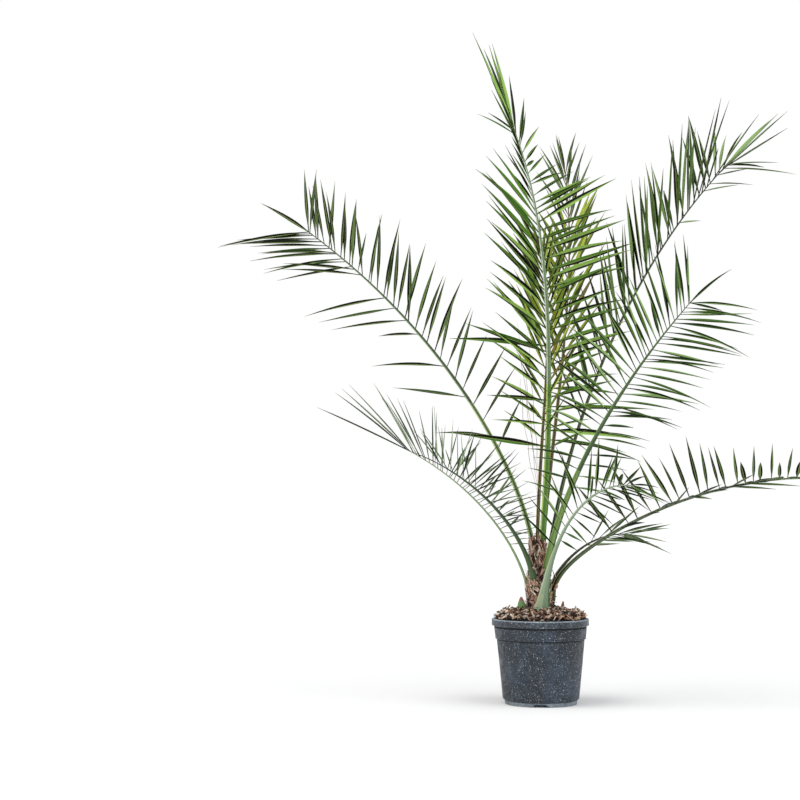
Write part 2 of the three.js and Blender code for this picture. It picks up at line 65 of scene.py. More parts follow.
# What a frond has unless its entry says otherwise. All is as in the part's source but for
# slimmer bases (mid_right, front_right, front_left) and a slimmer tip (mid_right). slim,
# root, flare and the colours are only here.
FROND = dict(
    turn=0, ease=0.5, clasp=0, roll=0, twist=0,
    bare=0.22, crowd=0.75, sparse=0, broken=2, lop=0, strays=8, sag=0.06,
    lift=25, flat=0.35, late=1.2, open_foot=85, open_tip=25, skew_foot=0, skew_tip=0,
    leaf_foot=0.6, leaf_tip=0.8, taper=1.5, waist=0, waist_at=0.8, slim=1,
    petiole=11, narrowing=0.76, sheath=15, flare=1.18, root=0,
    leaves="green", leaves_top=None, stalk="green", stalk_top=None,
)


def entry(name, **own):
    return SimpleNamespace(name=name, **{**FROND, **own})


FRONDS = [
    entry("frond_tall_centre", foot=(3, -1, 322), azimuth=55, turn=90, rise=81, fall=66,
        ease=2.5, length=1035, bare=0.2, pairs=38, leaf=195, open_foot=66, open_tip=-6,
        skew_foot=-12, late=5, leaf_tip=1.45, waist=0.74, waist_at=0.79, petiole=15, sheath=16,
        leaves="bright", stalk="bright", stalk_top="pale", slim=1.22),
    entry("frond_back_right", foot=(5, 17, 306), azimuth=62, turn=35, rise=87, fall=52,
        length=1085, bare=0.34, pairs=24, leaf=185, open_foot=32, open_tip=8, leaf_tip=0.95,
        petiole=10, sheath=10, leaves="yellow", leaves_top="dark", stalk="dry", slim=1.25),
    entry("frond_upper_right", foot=(13, 7, 284), azimuth=38, rise=80, fall=41, ease=0.9,
        length=1145, bare=0.28, pairs=28, leaf=212, lift=80, flat=1.3, late=5.5, open_foot=45,
        open_tip=62, skew_foot=-5, skew_tip=-42, leaf_foot=0.8, leaf_tip=1.2, sheath=13,
        stalk="dark", slim=1.1),
    entry("frond_mid_right", foot=(10, -12, 262), azimuth=-43, rise=86, fall=39,
        length=712, bare=0.24, pairs=34, leaf=195, roll=-60, open_foot=88, open_tip=47,
        skew_foot=-14, skew_tip=6, crowd=0.66, lop=0.4, leaf_tip=0.7, petiole=15.5,
        narrowing=0.9, sheath=22, sag=0.1, slim=0.86, stalk_top="deep"),
    entry("frond_low_right", foot=(26.5, -3, 230), azimuth=-4, rise=38, fall=-7, ease=1.3,
        clasp=52, length=715, pairs=27, leaf=126, roll=40, lift=45, flat=0, open_tip=62,
        skew_foot=10, skew_tip=12, broken=0.45, leaf_foot=1.1, leaf_tip=0.4, taper=0.6,
        sheath=17, leaves="dark", stalk="dark", slim=1.3),
    entry("frond_front_right", foot=(4, -30.5, 203), azimuth=-52, rise=76, fall=-8,
        ease=1.35, clasp=4, length=438, bare=0.3, pairs=18, leaf=140, roll=-40, lift=10,
        open_foot=90, open_tip=20, skew_foot=30, lop=0.65, leaf_foot=0.8, leaf_tip=0.6,
        strays=13, petiole=10, sheath=42, flare=0.85, stalk="grey"),
    entry("frond_upper_left", foot=(-14, 4, 322), azimuth=150, rise=90, fall=34,
        ease=0.42, length=1025, bare=0.2, pairs=34, leaf=188, roll=-50, open_foot=62, open_tip=48,
        skew_foot=6, skew_tip=9, crowd=0.6, sparse=0.5, leaf_foot=0.75, leaf_tip=1.05,
        sheath=12, leaves="dark", stalk_top="deep"),
    entry("frond_front_left", foot=(-12, -24, 254), azimuth=222, rise=89, fall=22,
        length=380, bare=0.25, pairs=14, leaf=115, lift=70, flat=0, late=2.2, open_foot=112,
        open_tip=30, leaf_foot=0.4, strays=14, slim=0.85, petiole=12, sheath=27, root=14,
        leaves="grey", stalk="deep"),
    entry("frond_low_left", foot=(-22.5, 2, 222), azimuth=172, rise=88, fall=27, ease=0.6,
        length=445, bare=0.25, pairs=19, leaf=125, lift=75, flat=0, open_foot=115, open_tip=6,
        late=2, leaf_foot=0.4, leaf_tip=1.9, taper=4, strays=14, petiole=8, sheath=16,
        leaves="grey", stalk="deep", slim=0.9),
    entry("frond_low_right_short", foot=(20, 17, 236), azimuth=22, rise=50, fall=-8,
        ease=1.6, clasp=25, length=250, bare=0.52, pairs=7, leaf=110, roll=70, lift=8,
        open_foot=32, open_tip=15, leaf_tip=0.9, petiole=8, sheath=12, leaves="grey",
        stalk="black"),
    entry("frond_back_centre", foot=(-7, 17, 308), azimuth=40, turn=70, rise=88.5, fall=60,
        ease=1.2, roll=-10, twist=10, length=740, bare=0.35, pairs=20, leaf=165, open_foot=36,
        open_tip=12, leaf_foot=0.55, petiole=10, sheath=10, leaves="yellow", stalk="dry",
        slim=1.25),
]

# Three shades of a leaflet's lit half, three of its half in painted shade, and its root, which is
# dark with painted shade in the green, dark and grey kinds.
SHADES = 3
LEAF_PAINTS = ["bloom_0", "bloom_1", "bloom_2", "deep_0", "deep_1", "deep_2", "root"]
LEAF_COLOURS = {
    "green": ["#4f7030", "#85a562", "#395523", "#101b05", "#080f02", "#182609", "#1b260d"],
    "bright": ["#5b8c2b", "#93bd58", "#447021", "#0e1c03", "#081101", "#192c08", "#5a7028"],
    "dark": ["#3c5528", "#607b47", "#263817", "#091002", "#040801", "#101906", "#10160a"],
    "grey": ["#6a805e", "#a3b494", "#4c6446", "#0c1507", "#070d04", "#172410", "#26311f"],
    "yellow": ["#879a2a", "#b3c24a", "#647c20", "#22340a", "#142005", "#3d4e0f", "#626622"],
}
# edge is a pale painted highlight along a leaflet's margins; rib, brown, dry and husk are its own
# colours.
LEAF_TRIM = dict(edge="#b4c294", rib="#8d9a5c", brown="#6d4a2e", dry="#94783f", husk="#55421f")
# A rachis's paints: its lit side, its side in painted shade, a painted highlight along its lit
# edge, half-lit faces between, its channel in painted shade, and its foot.
STALK_PAINTS = ["belly", "flank", "crest", "ridge", "channel", "foot"]
STALK_COLOURS = {
    "green": ["#64873f", "#3c5f26", "#a5ba76", "#7d9a50", "#33491c", "#5d7a38"],
    "bright": ["#87b044", "#2d5417", "#b0cb67", "#598729", "#4d7426", "#87ac4a"],
    "pale": ["#93a888", "#4f6b42", "#c0ccb0", "#78906a", "#5f7a52", "#93a888"],
    "deep": ["#4f6d3a", "#2a4020", "#86a068", "#3e5a2d", "#1c2b12", "#4f6d3a"],
    "dark": ["#4a5f33", "#33461f", "#93a372", "#55683a", "#11160a", "#7d8648"],
    "grey": ["#8fa583", "#4f6b4b", "#c3cfb4", "#7d9474", "#3a5337", "#9db08d"],
    "dry": ["#6b6d31", "#4d4a26", "#a39a50", "#6e5a34", "#46331d", "#8a5532"],
    "black": ["#3c3a22", "#23201a", "#5b5c3a", "#33301f", "#120e0a", "#4a3a26"],
}
STALK_HEM = "#c3bd9c"  # pale dry skin on the lit edge of a rachis's foot, in place of the painted highlight there, so partly a painted highlight


def linear(colour):
    """A #rrggbb colour as scene-linear values, opaque."""
    parts = [int(colour[i:i + 2], 16) / 255 for i in (1, 3, 5)]
    return [c / 12.92 if c <= 0.04045 else ((c + 0.055) / 1.055) ** 2.4 for c in parts] + [1]


def mix(a, b, share):
    return a + (b - a) * share


def smooth(share):
    share = np.clip(share, 0, 1)
    return share * share * (3 - 2 * share)


# What wobble gives a leaflet, each by its own channel.
(SHIFT, OPENING, LIFT, LENGTH, STUNTED, BOW, DROOP, TWIST, BLOOM, DEEP, BROWNED, SWAPPED,
 BREADTH, MISSING, DRIED) = range(1, 16)
KNOT = 31


def wobble(index, channel):
    """A fixed number from -1 to 1 for an index and a channel."""
    x = sin(index * 127.1 + channel * 311.7) * 43758.5453
    return 2 * (x - floor(x)) - 1


def put(name, data):
    """A new object in the scene."""
    thing = bpy.data.objects.new(name, data)
    bpy.context.scene.collection.objects.link(thing)
    return thing


def unit(v):
    """A vector, or each row of an array, at length 1."""
    return v / np.linalg.norm(v, axis=-1, keepdims=True)


class Heap:
    """Many small shapes that become one mesh, with a paint for each face."""

    def __init__(self):
        self.points, self.faces, self.paints, self.count = [], [], [], 0

    def add(self, points, faces, paints):
        """Paints is one name for all the faces, or a list of one name a face."""
        if isinstance(paints, str):
            paints = [paints] * len(faces)
        self.points.append(np.asarray(points, float))
        self.faces.extend([tuple(v + self.count for v in face) for face in faces])
        self.paints.extend(paints)
        self.count += len(points)

    def piece(self, name, materials, sharp=False):
        """The heap as an object. materials maps a paint's name to its material."""
        used = sorted(set(self.paints))
        mesh = bpy.data.meshes.new(name)
        mesh.from_pydata((np.concatenate(self.points) * MM).tolist(), [], self.faces)
        for paint in used:
            mesh.materials.append(materials[paint])
        slots = {paint: i for i, paint in enumerate(used)}
        mesh.polygons.foreach_set("material_index", [slots[p] for p in self.paints])
        mesh.polygons.foreach_set("use_smooth", [not sharp] * len(self.faces))
        mesh.update()
        return put(name, mesh)


def tube_faces(rings, around, closed=True):
    """Quads between rings of equally many points, and a cap on each end if closed."""
    faces = [
        (r * around + i, r * around + (i + 1) % around,
         (r + 1) * around + (i + 1) % around, (r + 1) * around + i)
        for r in range(rings - 1) for i in range(around)
    ]
    if closed:
        faces.append(tuple(reversed(range(around))))
        faces.append(tuple(range((rings - 1) * around, rings * around)))
    return faces


def rounds(rings, sides):
    """Share of the rings and angle of each point, in the order of tube_faces."""
    for ring in range(rings + 1):
        for i in range(sides):
            yield ring / rings, tau * i / sides


def dealt(**shares):
    """A list of paints to draw from, each as often as its share."""
    return [paint for paint, share in shares.items() for _ in range(share)]


def settle(piece, *nodes, slot):
    """Rides a finished piece on the plant's one body, in place of some CAD nodes."""
    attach(piece, "root")
    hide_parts(*nodes)


# ---- materials ----

def plain(name, colour, roughness, **sockets):
    """A material of one base colour, with other sockets of its shader by name."""
    material = bpy.data.materials.new(name)
    material.use_nodes = True
    shader = material.node_tree.nodes["Principled BSDF"]
    shader.inputs["Base Color"].default_value = linear(colour)
    shader.inputs["Roughness"].default_value = roughness
    for socket, value in sockets.items():
        shader.inputs[socket.replace("_", " ")].default_value = value
    return material


def plain_set(prefix, colours, roughness, **sockets):
    """A plain material for each paint's colour."""
    return {paint: plain(f"{prefix}_{paint}", colour, roughness, **sockets)
            for paint, colour in colours.items()}


class Nodes:
    """Short names for a patterned material's node calls."""

    def __init__(self, material):
        self.tree = material.node_tree
        self.shader = self.tree.nodes["Principled BSDF"]

    def new(self, kind, **inputs):
        node = self.tree.nodes.new(kind)
        for name, value in inputs.items():
            node.inputs[name].default_value = value
        return node

    def link(self, a, b):
        self.tree.links.new(a, b)

    def noise(self, scale, detail, stretch=(1, 1, 1), roughness=0.5):
        place = self.new("ShaderNodeTexCoord").outputs["Object"]
        mapping = self.new("ShaderNodeMapping", Scale=stretch)
        node = self.new("ShaderNodeTexNoise", Scale=scale, Detail=detail, Roughness=roughness)
        self.link(place, mapping.inputs["Vector"])
        self.link(mapping.outputs["Vector"], node.inputs["Vector"])
        return node.outputs["Fac"]

    def ramp(self, value, stops):
        """A colour ramp of (place, colour or grey) stops."""
        node = self.new("ShaderNodeValToRGB")
        elements = node.color_ramp.elements
        while len(elements) < len(stops):
            elements.new(0.5)
        for element, (place, colour) in zip(elements, stops):
            element.position = place
            element.color = linear(colour) if isinstance(colour, str) else [colour] * 3 + [1]
        self.link(value, node.inputs["Fac"])
        return node.outputs["Color"]

    def blend(self, share, tone, colour):
        """The tone where the share is 0, a plain colour where it is 1."""
        node = self.new("ShaderNodeMix")
        node.data_type = "RGBA"
        self.link(share, node.inputs["Factor"])
        first, second = (s for s in node.inputs if s.type == "RGBA")
        self.link(tone, first)
        second.default_value = linear(colour)
        return next(s for s in node.outputs if s.type == "RGBA")

    def bump(self, height, strength, distance):
        node = self.new("ShaderNodeBump", Strength=strength, Distance=distance)
        self.link(height, node.inputs["Height"])
        return node.outputs["Normal"]


# ---- fronds ----

def stem_middle(height):
    foot = STEM_PROFILE[0][0]
    return STEM_LEAN * (height - foot) / (STEM_TOP - foot)


def stem_point(angle, height, proud):
    """A point that stands proud of the stem's side by so much."""
    heights, radii = zip(*STEM_PROFILE)
    reach = float(np.interp(height, heights, radii)) + proud
    x, y = stem_middle(height) + reach * cos(angle), STEM_DEEPER * reach * sin(angle)
    return np.array([x, y, height])


def turned(v, axis, angle):
    """v turned about a unit axis by an angle in radians."""
    kept = axis * np.dot(axis, v)
    return v * cos(angle) + np.cross(axis, v) * sin(angle) + kept * (1 - cos(angle))


CLASP_REACH = 45  # the length over which a frond's steep foot fades out
SHEATH_REACH = 40  # the length over which its broad base narrows to the petiole
RACHIS_STEPS = 144


def frond_frame(frond, share):
    """The directions along, across and over the frond at a share of its length."""
    steep = frond.clasp * exp(-share * frond.length / CLASP_REACH)
    slope = radians(mix(frond.rise, frond.fall, max(share, 1e-4) ** frond.ease) + steep)
    azimuth = radians(frond.azimuth + frond.turn * share)
    roll = radians(frond.roll + frond.twist * share)
    along = np.array([cos(slope) * cos(azimuth), cos(slope) * sin(azimuth), sin(slope)])
    level = np.array([-sin(azimuth), cos(azimuth), 0.0])
    upper = np.cross(along, level)
    return along, turned(level, along, roll), turned(upper, along, roll)


def rachis_curve(frond):
    """The rachis's middle line as a function of the share of its length."""
    path = [np.array(frond.foot, float)]
    for i in range(RACHIS_STEPS):
        along = frond_frame(frond, (i + 0.5) / RACHIS_STEPS)[0]
        path.append(path[-1] + along * frond.length / RACHIS_STEPS)
    path = np.array(path)

    def at(share):
        place = min(max(share, 0), 1) * RACHIS_STEPS
        low = min(int(place), RACHIS_STEPS - 1)
        return mix(path[low], path[low + 1], place - low)

    return at


def petiole_width(frond, share):
    return frond.petiole * (1 - frond.narrowing * share)


def rachis_width(frond, share):
    """The petiole's width, and more near the foot, where the sheath is."""
    clasp = (frond.sheath - frond.petiole) * exp(-share * frond.length / SHEATH_REACH)
    return petiole_width(frond, share) + clasp


def rachis_depth(frond, share):
    return 0.4 * petiole_width(frond, share) + 0.12 * rachis_width(frond, share)


# The rachis's section in half widths and depths, from its right edge round over the top.
SECTION = [
    (1.0, 0.2), (0.8, 0.34), (0.46, 0.34), (0.22, 0.14), (-0.22, 0.14), (-0.46, 0.34),
    (-0.8, 0.34), (-1.0, 0.2), (-0.93, -0.2), (-0.72, -0.6), (-0.38, -0.88), (0, -1.0),
    (0.38, -0.88), (0.72, -0.6), (0.93, -0.2),
]
# Its faces' paints when its right side is the lit one, and when its left side is: a painted
# highlight on the lit edges, painted shade on the far side and in the channel.
RIGHT_LIT = (["crest"] * 2 + ["channel"] * 3 + ["ridge"] * 2 + ["flank"] * 2 + ["ridge"] * 2
             + ["belly"] * 2 + ["crest"] * 2)
LEFT_LIT = (["ridge"] * 2 + ["channel"] * 3 + ["crest"] * 4 + ["belly"] * 2 + ["ridge"] * 2
            + ["flank"] * 2)
RACHIS_RINGS = 72
SHEATH_RINGS = 8
SHEATH_SUNK = 4  # how deep a sheath's lower end lies in the stem's fibre
SHEATH_BOW = 2.5  # how far its middle bows out under the foot
HIGH_FOOT, HIGH_DROP, LOW_DROP = 262, 62, 48  # a sheath reaches further down from a higher foot
HEM_REACH = 30  # how far up a rachis shows its foot's colours
STALK_CHANGE = 0.36  # above this share of the rachis it shows stalk_top


def sheath_rings(frond):
    """Sections from the stem's fibre up to a frond's foot."""
    foot = np.array(frond.foot, float)
    along, across, over = frond_frame(frond, 0)
    drop = frond.root or (HIGH_DROP if foot[2] > HIGH_FOOT else LOW_DROP)
    low = max(foot[2] - drop, SOIL.top + 2)
    angle = atan2(foot[1] / STEM_DEEPER, foot[0] - stem_middle(foot[2]))
    root = stem_point(angle, low, -SHEATH_SUNK)
    tangent = unit(np.array([-sin(angle), cos(angle), 0.0]))
    if tangent @ across < 0:
        tangent = -tangent
    sections = []
    for step in range(SHEATH_RINGS):
        share = step / SHEATH_RINGS
        middle = mix(root, foot, share) - over * SHEATH_BOW * sin(pi * share)
        side = unit(mix(tangent, across, smooth(share)))
        face = unit(np.cross(along, side))
        half = mix(frond.flare, 1.0, share ** 0.7) * rachis_width(frond, 0) / 2
        depth = mix(0.6, 1.0, share) * rachis_depth(frond, 0)
        sections.append([middle + side * x * half + face * y * depth for x, y in SECTION])
    return sections


def add_rachis(heap, frond, at):
    """A frond's sheath and rachis as one closed tube."""
    shares = (np.arange(RACHIS_RINGS + 1) / RACHIS_RINGS) ** 1.25
    sheath = sheath_rings(frond)
    points = [point for section in sheath for point in section]
    for share in shares:
        across, over = frond_frame(frond, share)[1:]
        half, depth = rachis_width(frond, share) / 2, rachis_depth(frond, share)
        knot = 1 + 0.05 * wobble(int(share * 400), KNOT)
        middle = at(share)
        points += [middle + across * x * half * knot + over * y * depth for x, y in SECTION]
    faces = tube_faces(len(sheath) + len(shares), len(SECTION))
    paints = []
    for share in np.concatenate([np.zeros(len(sheath)), shares[:-1]]):
        paints += rachis_paints(frond, share)
    heap.add(points, faces, paints + ["belly", "belly"])


def rachis_paints(frond, share):
    """The paints of the faces round a rachis at a share of its length."""
    across = frond_frame(frond, share)[1]
    paints = LEFT_LIT if across[0] > 0 else RIGHT_LIT
    # Near the foot the lit side takes the foot's colour, and the painted highlight on the lit edge
    # becomes pale dry skin.
    if share * frond.length < HEM_REACH:
        return [dict(belly="foot", crest="hem").get(paint, paint) for paint in paints]
    if frond.stalk_top and share > STALK_CHANGE:
        return ["top_" + paint for paint in paints]
    return paints


# ---- leaflets ----

LEAF_WIDTH = 0.046  # breadth against length, held between the next two
LEAF_LEAST, LEAF_MOST = 5.4, 9.4
LEAF_WIDEST = 0.38  # where along its length it is broadest
LEAF_RINGS = 17
LEAF_CHANGE = 0.55  # above this share of the pairs a frond bears leaves_top
LONGEST_PAIR = 0.35  # where along the row the longest leaflets stand
WAIST_REACH = 0.14
STAGGER = 0.25  # each leaflet's distance from its pair's middle, in pairs
LAST_PLACE, END_PLACE, END_KEY = 0.985, 0.97, 99
STUNTED_LENGTH, STUNTED_BREADTH = 0.5, 1.25
CHANGED_BREADTH = 0.6


def leaf_size(frond, share):
    """A leaflet's length against the frond's longest, at a share of the row."""
    if share < LONGEST_PAIR:
        return mix(frond.leaf_foot, 1, sin(pi / 2 * share / LONGEST_PAIR))
    waist = frond.waist * exp(-((share - frond.waist_at) / WAIST_REACH) ** 2)
    beyond = (share - LONGEST_PAIR) / (1 - LONGEST_PAIR)
    return mix(1, frond.leaf_tip, beyond ** frond.taper) * (1 - waist)


def leaf_direction(frond, side, share, place, key):
    """Where a leaflet points, at a share of the row and a place on the rachis."""
    along, across, over = frond_frame(frond, place)
    late = share ** frond.late
    foot, tip = frond.open_foot + side * frond.skew_foot, frond.open_tip + side * frond.skew_tip
    opened = radians(mix(foot, tip, late) + frond.strays * wobble(key, OPENING))
    lift = radians(frond.lift * (1 - frond.flat * late) + frond.strays * wobble(key, LIFT))
    out = across * side * cos(lift) + over * sin(lift)
    return unit(along * cos(opened) + out * sin(opened))


def leaf_places(frond, number, at):
    """Each leaflet's root, direction, upper side, length, key and if it is stunted."""
    places = []
    for side in (1, -1):
        for pair in range(frond.pairs):
            key = number * 100 + pair * 2 + (1 if side > 0 else 0)
            share = (pair + 0.5 + STAGGER * side) / frond.pairs
            if side > 0 and share < 0.6 and wobble(key, MISSING) < 2 * frond.sparse - 1:
                continue
            spread = (1 - frond.bare) * share ** frond.crowd
            place = min(frond.bare + spread + 0.006 * wobble(key, SHIFT), LAST_PLACE)
            across, over = frond_frame(frond, place)[1:]
            length = frond.leaf * leaf_size(frond, share) * (1 + 0.12 * wobble(key, LENGTH))
            if side > 0:
                length *= 1 - frond.lop * (1 - share)
            stunted = wobble(key, STUNTED) > 0.88 or (pair % 2 > 0 and share > frond.broken)
            if stunted:
                length *= STUNTED_LENGTH
            root = at(place) + across * side * 0.3 * rachis_width(frond, place)
            direction = leaf_direction(frond, side, share, place, key)
            places.append((root, direction, over, length, key, stunted))
    along, _, over = frond_frame(frond, 1)
    length = frond.leaf * frond.leaf_tip
    places.append((at(END_PLACE), along, over, length, number * 100 + END_KEY, False))
    return places


def blade_width(t, stunted):
    """The half blade's width at shares t of the length, against its broadest."""
    rise = 0.34 + 0.66 * smooth(t / LEAF_WIDEST)
    fall = 1 - (np.clip(t - LEAF_WIDEST, 0, 1) / (1 - LEAF_WIDEST)) ** (3.2 if stunted else 1.7)
    return np.where(t < LEAF_WIDEST, rise, np.maximum(fall, 0.24 if stunted else 0.035))


RIB, MARGIN = 0.09, 0.93  # where a leaflet's half begins and ends, on the way from keel to edge
# A blade's section over its top and back under it: share of the way from keel to edge, side.
UPPER = [(1, -1), (MARGIN, -1), (0.5, -1), (RIB, -1), (RIB, 1), (0.5, 1), (MARGIN, 1), (1, 1)]
LOWER = [(MARGIN, 1), (0.5, 1), (0, 1), (0.5, -1), (MARGIN, -1)]
BLADE_SIDES = len(UPPER) + len(LOWER)


def leaf_line(place, frond, t):
    """A leaflet's middle line at shares t of its length, and the directions across and over it."""
    root, direction, over, length, key, _ = place
    side = unit(np.cross(direction, over))
    bow = 0.03 * wobble(key, BOW)
    droop = frond.sag * (1 + 0.9 * wobble(key, DROOP))
    line = (root + np.outer(t * length, direction) - np.outer(droop * length * t ** 2, UP)
            + np.outer(bow * length * t ** 2, side))
    tangent = unit(np.gradient(line, axis=0))
    face = np.cross(side, direction)
    face = unit(face - tangent * (tangent @ face)[:, None])
    across = np.cross(tangent, face)
    twist = radians(14) * wobble(key, TWIST) * t
    c, s = np.cos(twist)[:, None], np.sin(twist)[:, None]
    return line, across * c - face * s, face * c + across * s


def leaf_paints(kind, key, t):
    """A leaflet's paints: pale edges as a painted highlight, a rib, one half lit and the other in
    painted shade, and its root.
    """
    bloom = f"bloom_{int((wobble(key, BLOOM) + 1) / 2 * SHADES)}"
    deep = f"deep_{int((wobble(key, DEEP) + 1) / 2 * SHADES)}"
    if wobble(key, SWAPPED) > 0.35:
        bloom, deep = deep, bloom
    if kind == "yellow" and wobble(key, DRIED) > 0.82:
        bloom, deep = "dry", "husk"
    # A pale painted highlight on both margins, with the lit half and the half in painted shade on
    # either side of the rib.
    upper, lower = ["edge", bloom, bloom, "rib", deep, deep, "edge"], [deep, deep, bloom, bloom]
    browned = wobble(key, BROWNED) > 0.72
    paints = []
    for share in t[:-1]:
        # The root colour, painted shade in the green, dark and grey kinds, near the rachis.
        if share < 0.08:
            paints += ["root"] * BLADE_SIDES
        elif browned and share > 0.9:
            paints += ["brown"] * BLADE_SIDES
        else:
            paints += upper + ["edge"] + lower + ["edge"]
    return paints + ["root", "brown" if browned else deep]


def add_leaf(heap, place, frond):
    """One folded blade, closed and thin."""
    length, key, stunted = place[3:]
    changed = bool(frond.leaves_top) and key % 100 > 2 * LEAF_CHANGE * frond.pairs
    broad = min(max(length * LEAF_WIDTH, LEAF_LEAST), LEAF_MOST)
    broad *= STUNTED_BREADTH if stunted else 1
    broad *= frond.slim * (1 + 0.18 * wobble(key, BREADTH)) * (CHANGED_BREADTH if changed else 1)
    t = np.linspace(0, 1, LEAF_RINGS) ** 0.9
    line, across, over = leaf_line(place, frond, t)
    half = 0.583 * broad * blade_width(t, stunted)
    fold = np.radians(mix(30, 60, smooth(t / 0.3)) - 18 * smooth((t - 0.5) / 0.5))
    thick = np.clip(0.11 * half, 0.16, 0.45)

    def column(share, sign, sunk):
        """The blade's points at a share of the way from keel to edge, sunk by so much."""
        arch = 0.1 * half * sin(pi * share)
        x = half * share * np.sin(fold) + arch * np.cos(fold)
        y = half * (share - 0.5) * np.cos(fold) - arch * np.sin(fold)
        if share > 0:
            x, y = x + sunk * np.cos(fold), y + sunk * np.sin(fold)
        else:
            y = y - 1.5 * sunk
        return line + across * (sign * x)[:, None] + over * y[:, None]

    columns = [column(*spot, 0) for spot in UPPER] + [column(*spot, thick) for spot in LOWER]
    points = np.stack(columns, axis=1).reshape(-1, 3)
    paints = leaf_paints(frond.leaves_top if changed else frond.leaves, key, t)
    if changed:
        paints = ["top_" + paint for paint in paints]
    heap.add(points, tube_faces(LEAF_RINGS, BLADE_SIDES), paints)


# Leaflets that stand out of their row: share of the rachis, direction and length.
STRAY_LEAVES = {
    "frond_upper_right": [
        (0.985, (1, -0.2, 0.06), 120), (0.97, (1, -0.15, -0.03), 168), (0.945, (1, -0.2, 0.2), 76),
        (0.915, (1, -0.2, 0.02), 101), (0.89, (1, -0.2, 0.22), 84), (0.79, (1, -0.2, 0.1), 50),
    ],
    "frond_low_right": [
        (0.53, (1, -0.2, -0.04), 42), (0.645, (1, -0.15, -0.03), 96), (0.69, (1, -0.1, -0.02), 115),
    ],
    "frond_tall_centre": [
        (0.955, (-0.82, -0.1, 0.57), 108), (0.965, (-0.78, -0.1, 0.62), 80),
        (0.352, (1, -0.25, 0.01), 158), (0.312, (1, -0.25, -0.01), 232), (0.26, (1, -0.3, 0), 205),
        (0.24, (1, -0.2, -0.06), 172), (0.445, (-1, -0.2, 0.16), 225),
        (0.432, (-0.94, -0.2, 0.33), 198), (0.325, (-1, -0.2, 0.13), 140),
        (0.273, (-1, -0.25, 0.14), 128), (0.225, (-1, -0.25, 0.165), 218),
    ],
}
STRAY_KEY = 60


def add_stray_leaves(heap, frond, number, at):
    for i, (share, toward, length) in enumerate(STRAY_LEAVES.get(frond.name, [])):
        over = frond_frame(frond, share)[2]
        key = number * 100 + STRAY_KEY + i
        add_leaf(heap, (at(share), unit(np.array(toward)), over, length, key, False), frond)


# Dry threads that hang beside the middle fronds: three places of each.
REINS = [
    [(-3, 19, 455), (-26, 14, 640), (-48, 16, 830)],
    [(-3, 19, 470), (-19, 12, 600), (-33, 20, 745)],
    [(-4, 19, 440), (-31, 18, 590), (-40, 12, 700)],
    [(-2, 20, 500), (-13, 10, 640), (-24, 14, 800)],
]
REIN_WIDTH = 1.5


def add_rein(heap, places):
    """A thin dry thread through three places, a little wavy."""
    a, b, c = (np.array(place, float) for place in places)
    path = []
    for t in np.linspace(0, 1, 24):
        bend = a * (1 - t) ** 2 + (2 * b - (a + c) / 2) * 2 * t * (1 - t) + c * t * t
        path.append(bend + np.array([1.6 * sin(19 * t + a[2]), 1.2 * sin(13 * t), 0]))
    add_strand(heap, path, REIN_WIDTH, "husk" if a[2] % 20 else "brown")


LEAF_FINISH = dict(roughness=0.5, Specular_IOR_Level=0.1)


def leaf_materials():
    """The leaflets' materials by kind of leaf and paint."""
    trim = plain_set("leaf", LEAF_TRIM, **LEAF_FINISH)
    kinds = {}
    for kind, colours in LEAF_COLOURS.items():
        own = plain_set(f"leaf_{kind}", dict(zip(LEAF_PAINTS, colours)), **LEAF_FINISH)
        kinds[kind] = {**trim, **own}
    return kinds


def with_top(kinds, kind, top):
    """One kind's materials, and those of the kind higher up, if any."""
    higher = kinds.get(top, {})
    return {**kinds[kind], **{"top_" + paint: material for paint, material in higher.items()}}


def stalk_materials():
    """The rachises' materials by kind of stalk and paint."""
    return {kind: plain_set(f"stalk_{kind}", dict(zip(STALK_PAINTS, colours), hem=STALK_HEM), 0.5)
            for kind, colours in STALK_COLOURS.items()}


def make_fronds():
    leaves, stalks = leaf_materials(), stalk_materials()
    for number, frond in enumerate(FRONDS):
        at = rachis_curve(frond)
        name = frond.name
        slot = "frond_yellow_green" if frond.leaves == "yellow" else "frond_green"
        rachis, blades = Heap(), Heap()
        add_rachis(rachis, frond, at)
        for place in leaf_places(frond, number, at):
            add_leaf(blades, place, frond)
        add_stray_leaves(blades, frond, number, at)
        if name == "frond_back_centre":
            for rein in REINS:
                add_rein(blades, rein)
        skin = with_top(stalks, frond.stalk, frond.stalk_top)
        settle(rachis.piece(f"{name}_rachis", skin), name, slot=slot)
        skin = with_top(leaves, frond.leaves, frond.leaves_top)
        settle(blades.piece(f"{name}_leaflets", skin), name, slot=slot)


# ---- pot ----

POT_SEGMENTS = 192
RIM_FOOT = POT.height - POT.rim_height
BAND_FOOT = RIM_FOOT - POT.band_height
# Knocks that push the wall in: angle in degrees, height, width in degrees, height, depth.
KNOCKS = [
    (-10, 174, 9, 12, 2.4), (-24, 168, 7, 9, 1.4), (-33, 176, 4, 8, 1.5),
    (-128, 90, 24, 40, 0.9), (-70, 55, 20, 30, 0.7), (-160, 172, 12, 12, 1.4),
    (-118, 172, 8, 7, 1.0), (75, 120, 30, 45, 1.0), (140, 172, 10, 12, 1.6),
]


def near(radius, height, *offsets):
    return [(radius + r, height + z) for r, z in offsets]


